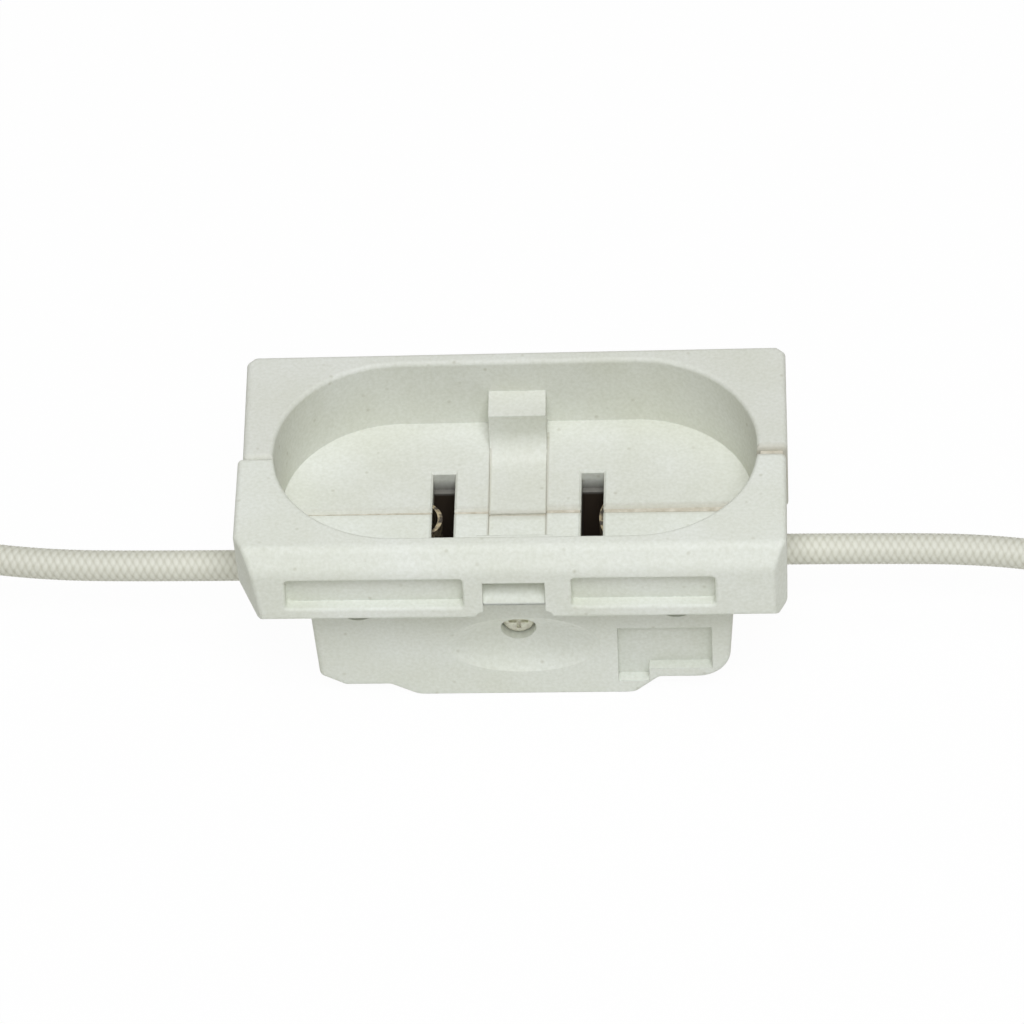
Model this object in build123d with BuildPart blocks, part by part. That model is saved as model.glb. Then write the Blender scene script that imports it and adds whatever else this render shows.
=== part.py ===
from build123d import *
import os
from math import pi, radians, tan

# Lamp socket of the extended mogul end prong kind, in millimetres.
# Two pressed steatite halves are clamped along a seam on the XZ plane and hold two spring contacts.
# The origin is under the middle of the foot, +Z points out of the lamp's recess, -Y is the front.
os.makedirs("parts", exist_ok=True)

# Outside of the steatite body
total_height = 25.2
block_length = 58.1
block_height = 9.0
front_depth = 15.5
rear_depth = 15.8
front_extra = 0.35  # the front half came out of its mould this much longer
front_shift = -0.35  # and sits a little to the left of the rear half
rear_turn = 0.7  # degrees; the rear half touches at the left end of the seam and gapes at the right
front_bevel_in = 1.5
front_bevel_down = 2.3
bevel_ridge_radius = 1.2
bevel_foot_radius = 2.4
bevel_run = 1.0  # how far the bevel's cut runs along the top and the face before its bends
left_cut_low_x = 2.7  # the front left corner is cut, more at the block's underside than at its top
left_cut_low_y = 6.1
left_cut_high_x = 1.55
right_cut_x = 1.3
right_cut_y = 2.1
rear_cut = 0.9
haunch_height = 3.0

# Lower body and foot
body_shift = 0.5
body_depth = 10.8
body_top_width = 45.4
body_low_width = 43.9
left_wing_height = 1.2
right_wing_height = 1.9
foot_top_width = 29.0
foot_width = 24.6
left_corner_along = 2.6
left_corner_up = 1.55
right_corner_radius = 3.6
outline_radius = 0.8
body_edge_radius = 0.7

# Lamp's recess
end_wall = 3.25
front_wall_thickness = 3.2
rear_wall_thickness = 1.7
cavity_depth = 8.5
cavity_draft = 3.0
rim_radius = 0.5
channel_depth = 0.6
key_width = 6.2
key_depth = 4.2
key_drop = 4.1
key_foot_radius = 2.6
contact_spacing = 16.0
slot_width = 2.4
slot_length = 12.2
slot_lip = 0.25

# Recesses of the front
pocket_drop = 3.5
pocket_height = 4.1
pocket_depth = 1.4
pocket_corner = 0.5
pocket_edge = 0.35
left_pocket_start = 5.4
left_pocket_length = 18.8
right_pocket_start = 6.1
right_pocket_length = 15.2
scoop_width = 6.6
scoop_drop = 4.0
rear_scoop_drop = 5.2
scoop_margin = 0.8  # the scoops lie behind the keys, and stay this far inside their sides
scoop_depth = 2.5
scoop_height = 3.2
notch_radius = 0.8
mark_pocket_x = 10.6
mark_pocket_top = 9.6
mark_column_width = 3.3
mark_column_height = 7.9
mark_arm_length = 6.8
mark_arm_height = 6.1
mark_pocket_depth = 1.3
vent_spacing = 34.0
vent_radius = 2.2
vent_height = 13.5
edge_radius = 0.6
seam_radius = 0.6
seam_groove = 0.3

# Clamp screw, washer and nut
screw_height = 8.5
dish_middle = 7.3
dish_length = 16.4
dish_height = 8.2
dish_depth = 1.7
head_bore = 3.8
head_diameter = 3.5
head_height = 1.5
head_seat = 6.9  # from the seam
recess_length = 2.1
recess_width = 0.45
recess_depth = 0.3
screw_diameter = 2.5
screw_length = 16.4
screw_clearance = 0.3
nut_seat = 6.5  # from the seam
nut_flats = 5.0
nut_thickness = 2.0
nut_clearance = 0.2
washer_diameter = 4.4
washer_thickness = 0.6
washer_gap = 0.5
fit_clearance = 0.1

# Contacts and the bays that hold them
bay_floor = 6.0
bay_ceiling = 14.2
contact_bay_width = 11.0
wiring_bay_width = 7.6
wiring_bay_end = 19.4
part_clearance = 0.2
strip_thickness = 0.5
wing_width = 10.4
bow_width = 4.4
left_bow_rise = 1.1  # the left contact springs out into its slot, the right one has been pushed back
right_bow_rise = 0.45
tongue_drop = 1.0  # the bow's top edge lies this far below the recess's floor
spring_thickness = 0.3
spring_gap = 0.05
spring_margin = 1.2
tail_height = 1.0
tail_width = 4.4
tail_length = 5.8

# Lugs, rivets and conductors
rivet_reach = 3.0  # from the slot's outer wall to the rivet
rivet_diameter = 2.0
rivet_head_diameter = 3.4
rivet_head_height = 0.6
lug_diameter = 4.6
lug_thickness = 0.7
barrel_diameter = 2.9
barrel_bore = 2.0
barrel_length = 3.2
barrel_gap = 0.3
conductor_diameter = 1.9
conductor_insertion = 2.6

# Leads
lead_diameter = 3.4
lead_height = 9.85
lead_offset = 0.8  # the left lead lies in front of the seam, the right one behind it
lead_clearance = 0.2

# Hanks of the stored length, two layers of turns with the lead coming in on top
hank_length = 54.0
hank_fold_radius = 10.2
hank_near_end = 59.0
hank_lift = 0.6
hank_rounding = 1.5
stub_width = 2.0
stub_length = 8.0
end_start = 82.0
end_length = 11.0
end_gap = 1.0
tie_width = 3.0
tie_thickness = 0.5
tie_clearance = 0.05
tie_head_length = 3.6
tie_head_height = 2.0

# Heights and places worked out from the sizes above
block_z = total_height - block_height
floor_z = total_height - cavity_depth
channel_z = floor_z - channel_depth
haunch_z = block_z - haunch_height
front_left = front_shift - (block_length + front_extra) / 2
front_right = front_shift + (block_length + front_extra) / 2
rear_left = -block_length / 2
rear_right = block_length / 2
front_wall = front_wall_thickness - front_depth
rear_wall = rear_depth - rear_wall_thickness
cavity_length = block_length - 2 * end_wall
cavity_width = rear_wall - front_wall
cavity_offset = (front_wall + rear_wall) / 2
slot_outer = contact_spacing / 2 + slot_width / 2
slot_inner = contact_spacing / 2 - slot_width / 2
strip_outer = slot_outer + strip_thickness
bay_shoulder = strip_outer + spring_gap + spring_thickness + spring_gap
floor_end = cavity_length / 2 - cavity_depth * tan(radians(cavity_draft))
strip_low = bay_floor + part_clearance
strip_high = bay_ceiling - part_clearance
tongue_z = floor_z - tongue_drop
tail_z = strip_low + tail_height
lug_z = tail_z + strip_thickness
rivet_u = slot_outer + rivet_reach
lead_start = wiring_bay_end + part_clearance
barrel_end = lead_start - barrel_gap
barrel_start = barrel_end - barrel_length
hank_top = hank_lift + 2 * lead_diameter
lead_top = hank_top + lead_diameter / 2 + 2 * tie_clearance

entry_run = -hank_fold_radius
tied_run = hank_fold_radius
rear_place = Pos(rear_left, 0, 0) * Rot(0, 0, rear_turn) * Pos(-rear_left, 0, 0)

# Route of a lead on the right: out from the socket, across the seam and onto the hank
lead_route = [
    (lead_start, lead_offset, lead_height),
    (40.0, lead_offset, lead_height),
    (52.0, 0.3, 9.8),
    (63.0, -2.0, 9.6),
    (73.5, -7.0, 9.4),
    (84.0, entry_run, lead_top),
    (92.0, entry_run, lead_top),
]


def front_view(corners):
    """A closed outline on the XZ plane."""
    with BuildSketch(Plane.XZ) as outline:
        with BuildLine():
            Polyline(*corners, close=True)
        make_face()
    return outline.sketch


def side_view(corners):
    """A closed outline on the YZ plane."""
    with BuildSketch(Plane.YZ) as outline:
        with BuildLine():
            Polyline(*corners, close=True)
        make_face()
    return outline.sketch


def haunch_outline(left_end, right_end):
    """The slope that carries the block's overhanging ends, seen from the front."""
    left, right = body_shift - body_top_width / 2, body_shift + body_top_width / 2
    return front_view([(left_end, block_z), (left, haunch_z), (right, haunch_z), (right_end, block_z)])


def haunch_side(depth):
    """The slope under the block's face, seen from the end; depth is negative at the front."""
    face = body_depth if depth > 0 else -body_depth
    return side_view([(0, block_z), (0, haunch_z), (face, haunch_z), (depth, block_z)])


def bevel_outline():
    """Section of what the soft bevel along the front of the top takes off, from the face round to the top."""
    low = total_height - front_bevel_down
    inner = front_bevel_in - front_depth
    outside = -front_depth - bevel_run
    corners = [
        (-front_depth, low - bevel_run, 0),
        (-front_depth, low, bevel_foot_radius),
        (inner, total_height, bevel_ridge_radius),
        (inner + bevel_run, total_height, 0),
        (inner + bevel_run, total_height + bevel_run, 0),
        (outside, total_height + bevel_run, 0),
        (outside, low - bevel_run, 0),
    ]
    with BuildSketch(Plane.YZ) as outline:
        with BuildLine():
            FilletPolyline(
                *[(y, z) for y, z, radius in corners], radius=[radius for y, z, radius in corners], close=True
            )
        make_face()
    return outline.sketch


def body_outline():
    """The lower body from the front: drafted ends, a cut and a rounded lower corner, two wings, the foot."""
    top, low = body_top_width / 2, body_low_width / 2
    draft = (top - low) / haunch_z
    # Each corner's place along X, its height and its radius
    corners = [
        (-top, haunch_z, 0),
        (-low - draft * left_corner_up, left_wing_height + left_corner_up, outline_radius),
        (-low + left_corner_along, left_wing_height, outline_radius),
        (-foot_top_width / 2, left_wing_height, outline_radius),
        (-foot_width / 2, 0, 0),
        (foot_width / 2, 0, 0),
        (foot_top_width / 2, right_wing_height, outline_radius),
        (low, right_wing_height, right_corner_radius),
        (top, haunch_z, 0),
        (top, block_z, 0),
        (-top, block_z, 0),
    ]
    points = [(body_shift + x, z) for x, z, radius in corners]
    with BuildSketch(Plane.XZ) as outline:
        with BuildLine():
            FilletPolyline(*points, radius=[radius for x, z, radius in corners], close=True)
        make_face()
    return outline.sketch


def key_outline(wall):
    """Section of the key block on the channel, against a wall of the recess and hollow at its foot."""
    inward = -1 if wall > 0 else 1
    back = wall - inward * rim_radius
    front = wall + inward * key_depth
    top = total_height - key_drop
    bend_z = channel_z + key_foot_radius
    bend = key_foot_radius * (1 - 2**-0.5)
    with BuildSketch(Plane.YZ) as outline:
        with BuildLine():
            Polyline((front, bend_z), (front, top), (back, top), (back, channel_z))
            Line((back, channel_z), (front + inward * key_foot_radius, channel_z))
            ThreePointArc(
                (front + inward * key_foot_radius, channel_z),
                (front + inward * bend, channel_z + bend),
                (front, bend_z),
            )
        make_face()
    return outline.sketch


def recess_plan():
    """Plan of the lamp's recess, on the top face."""
    with BuildSketch(Plane.XY.offset(total_height)) as plan:
        with Locations((0, cavity_offset)):
            SlotOverall(cavity_length, cavity_width)
    return plan.sketch


def rim_section():
    """Section of what rounds the recess's rim, where it crosses the YZ plane at the rear."""
    lean = rim_radius * tan(radians(cavity_draft))
    bend = rim_radius * (1 - 2**-0.5)
    top, low = total_height + rim_radius, total_height - rim_radius
    with BuildSketch(Plane.YZ) as section:
        with BuildLine():
            ThreePointArc(
                (rear_wall - lean, low),
                (rear_wall - lean + bend, total_height - bend),
                (rear_wall + rim_radius, total_height),
            )
            Polyline(
                (rear_wall + rim_radius, total_height),
                (rear_wall + rim_radius, top),
                (rear_wall - rim_radius, top),
                (rear_wall - rim_radius, low),
                (rear_wall - lean, low),
            )
        make_face()
    return section.sketch


def channel_plan():
    """Plan of the shallow channel across the floor, from key to key."""
    start, end = front_wall + key_depth / 2, rear_wall - key_depth / 2
    with BuildSketch(Plane.XY.offset(floor_z)) as plan:
        with Locations((0, (start + end) / 2)):
            Rectangle(key_width, end - start)
    return plan.sketch


def slots_plan(margin):
    """Plan of the two contact slots in the floor, or of their eased edges where the margin isn't zero."""
    with BuildSketch(Plane.XY.offset(floor_z)) as plan:
        with GridLocations(contact_spacing, 0, 2, 1):
            Rectangle(slot_width + 2 * margin, slot_length + 2 * margin)
    return plan.sketch


def bays_plan():
    """Plan of the bays under the floor: a wide one for each contact and a narrower one for its lug."""
    contact_length = bay_shoulder - slot_inner
    wiring_length = wiring_bay_end - slot_inner
    with BuildSketch(Plane.XY.offset(bay_floor)) as plan:
        with GridLocations(2 * slot_inner + contact_length, 0, 2, 1):
            Rectangle(contact_length, contact_bay_width)
        with GridLocations(2 * slot_inner + wiring_length, 0, 2, 1):
            Rectangle(wiring_length, wiring_bay_width)
    return plan.sketch


def tongue_plan():
    """Plan of the hollows beside the slots that the contacts' tongues spring out of."""
    reach = bay_shoulder - slot_outer
    with BuildSketch(Plane.XY.offset(bay_ceiling)) as plan:
        with GridLocations(2 * slot_outer + reach, 0, 2, 1):
            Rectangle(reach, bow_width + 2 * part_clearance)
    return plan.sketch


def lead_section(side, diameter):
    """Round section of a lead or its hole, on the plane where the lead starts; side is -1 or 1."""
    plane = Plane((side * wiring_bay_end, side * lead_offset, lead_height), z_dir=(side, 0, 0))
    with BuildSketch(plane) as section:
        Circle(diameter / 2)
    return section.sketch


def dish_half_plan(face):
    """Half of the oval whose turn about a line along X gives the dish; face is the dish's plane."""
    half = dish_height / 2
    reach = (half**2 / dish_depth + dish_depth) / 2
    centre = reach - dish_depth
    long_half = dish_length / 2 * reach / half
    outward = 1 if face > 0 else -1
    middle = face + outward * centre
    with BuildSketch(Plane.XY.offset(dish_middle)) as plan:
        with Locations((body_shift, middle)):
            Ellipse(long_half, reach)
        with Locations((body_shift, middle + outward * reach / 2)):
            Rectangle(2 * long_half, reach, mode=Mode.SUBTRACT)
    return plan.sketch, Axis((body_shift, middle, dish_middle), (1, 0, 0))


def screw_section(offset, diameter):
    """Round section about the clamp screw's axis, this far in front of the seam."""
    with BuildSketch(Plane.XZ.offset(offset)) as section:
        with Locations((0, screw_height)):
            Circle(diameter / 2)
    return section.sketch


def scoop_outline(face, drop):
    """Hollow in a face of the block, flat above and rounded below: the lower half of an oval on the face."""
    with BuildSketch(Plane.YZ) as outline:
        with Locations((face, total_height - drop)):
            Ellipse(scoop_depth, scoop_height)
            Rectangle(2 * scoop_depth, scoop_height, align=(Align.CENTER, Align.MIN), mode=Mode.SUBTRACT)
    return outline.sketch


def notch_outline():
    """The opening in the block's underside below the scoop, seen from the front, with rounded corners."""
    half = scoop_width / 2
    wide = half + notch_radius
    low = block_z + notch_radius
    top = total_height - scoop_drop - scoop_height
    with BuildSketch(Plane.XZ) as outline:
        with BuildLine():
            Polyline((-wide, block_z), (-wide, haunch_z), (wide, haunch_z), (wide, block_z))
            RadiusArc((wide, block_z), (half, low), -notch_radius)
            Polyline((half, low), (half, top), (-half, top), (-half, low))
            RadiusArc((-half, low), (-wide, block_z), -notch_radius)
        make_face()
    return outline.sketch


def corner_plane(on_end, on_face, higher):
    """The plane of a corner cut, through a point on the end, one on the face and one above that."""
    along = on_face - on_end
    return Plane(on_end, x_dir=along, z_dir=along.cross(higher - on_end))


def body_corners(edges):
    """The upright edges of the lower body."""
    found = edges.filter_by(lambda e: abs(abs(e.center().Y) - body_depth) < 0.01)
    found = found.filter_by(lambda e: abs(e.center().X - body_shift) > body_low_width / 2)
    return found.filter_by(lambda e: e.bounding_box().size.Z > haunch_height)


def block_edges(edges):
    """The edges round the block but the bevel's; those along the seam follow from its rounded corners."""
    found = edges.filter_by(lambda e: e.bounding_box().min.Z > block_z - 0.01)
    found = found.filter_by(lambda e: abs(e.center().Y) > 0.01)
    return found.filter_by(lambda e: not on_bevel(e))


def on_bevel(edge):
    """Whether an edge runs along the bevel, the length of the block and above its lower edge."""
    middle = edge.center()
    along = edge.bounding_box().size.X > block_length / 2
    return along and middle.Y < -body_depth and middle.Z > block_z + 0.01


def pocket_edges(edges):
    """The rims of the label pockets in the front face."""
    found = edges.filter_by(lambda e: e.bounding_box().max.Y < 0.01 - front_depth)
    found = found.filter_by(lambda e: e.bounding_box().max.Z < total_height - pocket_drop + 0.01)
    low = total_height - pocket_drop - pocket_height
    return found.filter_by(lambda e: e.bounding_box().min.Z > low - 0.01)


def seam_corners(edges):
    """The upright edges of the block's ends on the seam."""
    found = edges.filter_by(Axis.Z).filter_by(lambda e: abs(e.center().Y) < 0.01)
    return found.filter_by(lambda e: e.bounding_box().max.Z > total_height - 0.01)


def groove_outline(half):
    """Section of what the worn edge leaves open along the seam in the recess's floor; half is -1 or 1."""
    return side_view([(0, floor_z), (half * seam_groove, floor_z), (0, floor_z - seam_groove)])


def hollow_out(wall, width):
    """Cut the lamp's recess into a shell, with a worn edge at the seam, and stand a key on its wall."""
    half = 1 if wall > 0 else -1
    extrude(recess_plan(), amount=-cavity_depth, taper=cavity_draft, mode=Mode.SUBTRACT)
    sweep(rim_section(), path=recess_plan().wire(), mode=Mode.SUBTRACT)
    extrude(groove_outline(half), amount=floor_end, both=True, mode=Mode.SUBTRACT)
    extrude(channel_plan(), amount=-channel_depth, mode=Mode.SUBTRACT)
    extrude(key_outline(wall), amount=width / 2, both=True)


def cut_bays():
    """Cut the contacts' slots and bays and the leads' holes."""
    extrude(slots_plan(0), amount=bay_ceiling - floor_z, mode=Mode.SUBTRACT)
    extrude(slots_plan(slot_lip), amount=-slot_lip, taper=45, mode=Mode.SUBTRACT)
    extrude(bays_plan(), amount=bay_ceiling - bay_floor, mode=Mode.SUBTRACT)
    extrude(tongue_plan(), amount=tongue_z + part_clearance - bay_ceiling, mode=Mode.SUBTRACT)
    for side in (-1, 1):
        extrude(lead_section(side, lead_diameter + lead_clearance), amount=block_length, mode=Mode.SUBTRACT)


def bowed_strip(plane, wing_face, thickness, bow_rise):
    """Plan of a strip with flat wings and a bow between them that bulges towards the slot."""
    half_width = wing_width / 2
    half_bow = bow_width / 2
    back = wing_face + thickness
    with BuildSketch(plane) as plan:
        with BuildLine():
            Polyline((back, -half_bow), (back, -half_width), (wing_face, -half_width), (wing_face, -half_bow))
            ThreePointArc((wing_face, -half_bow), (wing_face - bow_rise, 0), (wing_face, half_bow))
            Polyline((wing_face, half_bow), (wing_face, half_width), (back, half_width), (back, half_bow))
            ThreePointArc((back, half_bow), (back - bow_rise, 0), (back, -half_bow))
        make_face()
    return plan.sketch


# Front half
with BuildPart() as front_shell:
    extrude(haunch_outline(front_left, front_right), amount=front_depth)
    extrude(haunch_side(-front_depth), amount=block_length, both=True, mode=Mode.INTERSECT)
    extrude(body_outline(), amount=body_depth)
    fillet(body_corners(front_shell.edges()), radius=body_edge_radius)
    with BuildSketch(Plane.XY.offset(block_z)):
        with Locations((front_shift, 0)):
            Rectangle(block_length + front_extra, front_depth, align=(Align.CENTER, Align.MAX))
    extrude(amount=block_height)
    fillet(seam_corners(front_shell.edges()), radius=seam_radius)
    # The cut corners: the left one slopes, the right one is upright
    left_cut = corner_plane(
        Vector(front_left, -front_depth + left_cut_low_y, block_z),
        Vector(front_left + left_cut_low_x, -front_depth, block_z),
        Vector(front_left + left_cut_high_x, -front_depth, total_height),
    )
    right_cut = corner_plane(
        Vector(front_right, -front_depth + right_cut_y, block_z),
        Vector(front_right - right_cut_x, -front_depth, block_z),
        Vector(front_right - right_cut_x, -front_depth, total_height),
    )
    split(bisect_by=left_cut, keep=Keep.BOTTOM)
    split(bisect_by=right_cut, keep=Keep.TOP)
    extrude(bevel_outline(), amount=block_length, both=True, mode=Mode.SUBTRACT)
    fillet(block_edges(front_shell.edges()), radius=edge_radius)
    hollow_out(front_wall, scoop_width + 2 * scoop_margin)
    cut_bays()
    # The dish and the clamp screw's bore
    oval, oval_axis = dish_half_plan(-body_depth)
    revolve(oval, axis=oval_axis, mode=Mode.SUBTRACT)
    extrude(screw_section(head_seat, head_bore), amount=body_depth, mode=Mode.SUBTRACT)
    extrude(screw_section(0, screw_diameter + screw_clearance), amount=head_seat, mode=Mode.SUBTRACT)
    # The label pockets, left bare
    with BuildSketch(Plane.XZ.offset(front_depth)):
        pocket_z = total_height - pocket_drop - pocket_height / 2
        with Locations((-left_pocket_start - left_pocket_length / 2, pocket_z)):
            RectangleRounded(left_pocket_length, pocket_height, pocket_corner)
        with Locations((right_pocket_start + right_pocket_length / 2, pocket_z)):
            RectangleRounded(right_pocket_length, pocket_height, pocket_corner)
    extrude(amount=-pocket_depth, mode=Mode.SUBTRACT)
    fillet(pocket_edges(front_shell.edges()), radius=pocket_edge)
    # The scoop behind the key and the notch under it
    extrude(scoop_outline(-front_depth, scoop_drop), amount=scoop_width / 2, both=True, mode=Mode.SUBTRACT)
    with BuildSketch(Plane.XZ.offset(body_depth)):
        add(notch_outline())
    extrude(amount=front_depth, mode=Mode.SUBTRACT)
    # The bare pocket at the lower right
    with BuildSketch(Plane.XZ.offset(body_depth)):
        with Locations((mark_pocket_x, mark_pocket_top)):
            Rectangle(mark_column_width, mark_column_height, align=(Align.MIN, Align.MAX))
            Rectangle(mark_column_width + mark_arm_length, mark_arm_height, align=(Align.MIN, Align.MAX))
    extrude(amount=-mark_pocket_depth, mode=Mode.SUBTRACT)
    # The vents into the wiring bays
    with BuildSketch(Plane.XZ.offset(wiring_bay_width / 4)):
        with Locations((-vent_spacing / 2, vent_height), (vent_spacing / 2, vent_height)):
            Circle(vent_radius)
    extrude(amount=front_depth, mode=Mode.SUBTRACT)
front_shell.part.label = "front_shell"
export_step(front_shell.part, "parts/front_shell.step")

# Rear half, first as it is pressed
with BuildPart() as rear_half:
    extrude(haunch_outline(rear_left, rear_right), amount=-rear_depth)
    extrude(haunch_side(rear_depth), amount=block_length, both=True, mode=Mode.INTERSECT)
    extrude(body_outline(), amount=-body_depth)
    fillet(body_corners(rear_half.edges()), radius=body_edge_radius)
    with BuildSketch(Plane.XY.offset(block_z)):
        Rectangle(block_length, rear_depth, align=(Align.CENTER, Align.MIN))
    extrude(amount=block_height)
    fillet(seam_corners(rear_half.edges()), radius=seam_radius)
    for side, kept in ((-1, Keep.TOP), (1, Keep.BOTTOM)):
        end = side * block_length / 2
        cut = corner_plane(
            Vector(end, rear_depth - rear_cut, block_z),
            Vector(end - side * rear_cut, rear_depth, block_z),
            Vector(end - side * rear_cut, rear_depth, total_height),
        )
        split(bisect_by=cut, keep=kept)
    fillet(block_edges(rear_half.edges()), radius=edge_radius)
    hollow_out(rear_wall, key_width)
    oval, oval_axis = dish_half_plan(body_depth)
    revolve(oval, axis=oval_axis, mode=Mode.SUBTRACT)
    rear_scoop = scoop_outline(rear_depth, rear_scoop_drop)
    extrude(rear_scoop, amount=key_width / 2 - scoop_margin, both=True, mode=Mode.SUBTRACT)

# Then turned a little, with the bays, the screw's bore and the nut's pocket in line with the front half's
with BuildPart() as rear_shell:
    add(rear_place * rear_half.part)
    cut_bays()
    extrude(screw_section(0, screw_diameter + screw_clearance), amount=-body_depth, mode=Mode.SUBTRACT)
    with BuildSketch(Plane.XZ.offset(-nut_seat)):
        with Locations((0, screw_height)):
            RegularPolygon((nut_flats + nut_clearance) / 2, 6, major_radius=False)
    extrude(amount=-body_depth, mode=Mode.SUBTRACT)
rear_shell.part.label = "rear_shell"
export_step(rear_shell.part, "parts/rear_shell.step")

# Clamp screw, with its head in the front dish
with BuildPart() as clamp_screw:
    extrude(screw_section(head_seat, head_diameter), amount=head_height)
    fillet(clamp_screw.edges().sort_by(Axis.Y)[0], radius=head_height / 4)
    extrude(screw_section(head_seat, screw_diameter), amount=-screw_length)
    chamfer(clamp_screw.edges().sort_by(Axis.Y)[-1], length=screw_diameter / 8)
    with BuildSketch(Plane.XZ.offset(head_seat + head_height)):
        with Locations((0, screw_height)):
            Rectangle(recess_length, recess_width)
            Rectangle(recess_width, recess_length)
    extrude(amount=-recess_depth, mode=Mode.SUBTRACT)
clamp_screw.part.label = "clamp_screw"
export_step(clamp_screw.part, "parts/clamp_screw.step")

# Split washer and nut in the rear half's pocket
with BuildPart() as lock_washer:
    extrude(screw_section(-nut_seat, washer_diameter), amount=-washer_thickness)
    washer_bore = screw_section(-nut_seat, screw_diameter + fit_clearance)
    extrude(washer_bore, amount=-washer_thickness, mode=Mode.SUBTRACT)
    with BuildSketch(Plane.XZ.offset(-nut_seat)):
        with Locations((0, screw_height)):
            Rectangle(washer_gap, washer_diameter, align=(Align.CENTER, Align.MIN))
    extrude(amount=-washer_thickness, mode=Mode.SUBTRACT)
lock_washer.part.label = "lock_washer"
export_step(lock_washer.part, "parts/lock_washer.step")

with BuildPart() as clamp_nut:
    nut_face = nut_seat + washer_thickness
    with BuildSketch(Plane.XZ.offset(-nut_face)):
        with Locations((0, screw_height)):
            RegularPolygon(nut_flats / 2, 6, major_radius=False)
            Circle((screw_diameter + fit_clearance) / 2, mode=Mode.SUBTRACT)
    extrude(amount=-nut_thickness)
clamp_nut.part.label = "clamp_nut"
export_step(clamp_nut.part, "parts/clamp_nut.step")

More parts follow.
